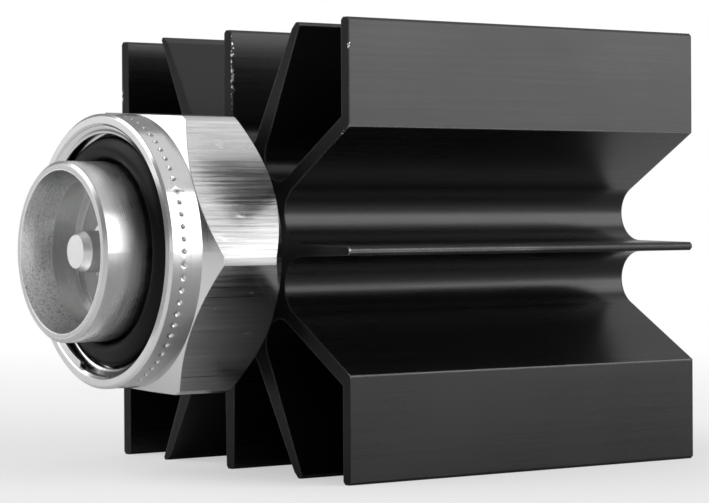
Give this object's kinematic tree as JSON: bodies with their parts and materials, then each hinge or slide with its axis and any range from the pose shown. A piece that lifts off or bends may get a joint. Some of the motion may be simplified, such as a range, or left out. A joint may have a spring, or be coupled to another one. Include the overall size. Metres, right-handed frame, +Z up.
{
  "type": "rf dummy load",
  "caption": "Coaxial termination: a plug with a free-turning hexagonal coupling nut, whose resistor sits inside a black extruded heatsink with radial fins and bent side plates.",
  "frame": {"origin": "on the plug's axis, in the plane where the outer conductors of two mated connectors touch", "axes": "+Y runs from the plug into the heatsink, so the plug faces -Y; +Z is up, with the lower fin tips on the table; +X is to the right when looking along +Y"},
  "size_m": [0.05, 0.075, 0.0526],
  "materials": {
    "black_anodised_aluminium": "black anodised extrusion, satin",
    "plated_brass_body": "turned and white-bronze plated",
    "black_rubber": "moulded silicone rubber, matt",
    "plated_brass_nut": "milled and turned, nickel plated",
    "spring_bronze": "rolled spring bronze",
    "silvered_brass": "turned and silver plated",
    "white_fluoropolymer": "turned PTFE",
    "silvered_bronze": "turned, slit and silver plated",
    "resistive_film": "thin dark film on a ceramic rod, lacquered",
    "plated_cap": "pressed and tinned",
    "plain_aluminium": "turned, bare",
    "plain_brass": "turned, bare",
    "spring_steel": "stamped spring steel",
    "black_disc": "black anodised disc"
  },
  "bodies": {
    "load": {"heatsink": "black_anodised_aluminium", "connector_body": "plated_brass_body", "face_gasket": "black_rubber", "snap_ring": "spring_bronze", "centre_pin": "silvered_brass", "pin_bead": "white_fluoropolymer", "contact_sleeve": "silvered_bronze", "resistor_rod": "resistive_film", "resistor_front_cap": "plated_cap", "resistor_rear_cap": "plated_cap", "stepped_sleeve": "plain_aluminium", "ground_plug": "plain_brass", "disc_spring": "spring_steel", "end_disc": "black_disc"},
    "nut": {"coupling_nut": "plated_brass_nut"}
  },
  "joints": [
    {"name": "nut_spin", "type": "hinge", "parent": "load", "child": "nut", "pos_m": [0, 0.01115, 0], "axis": [0, 1, 0], "continuous": true}
  ]
}
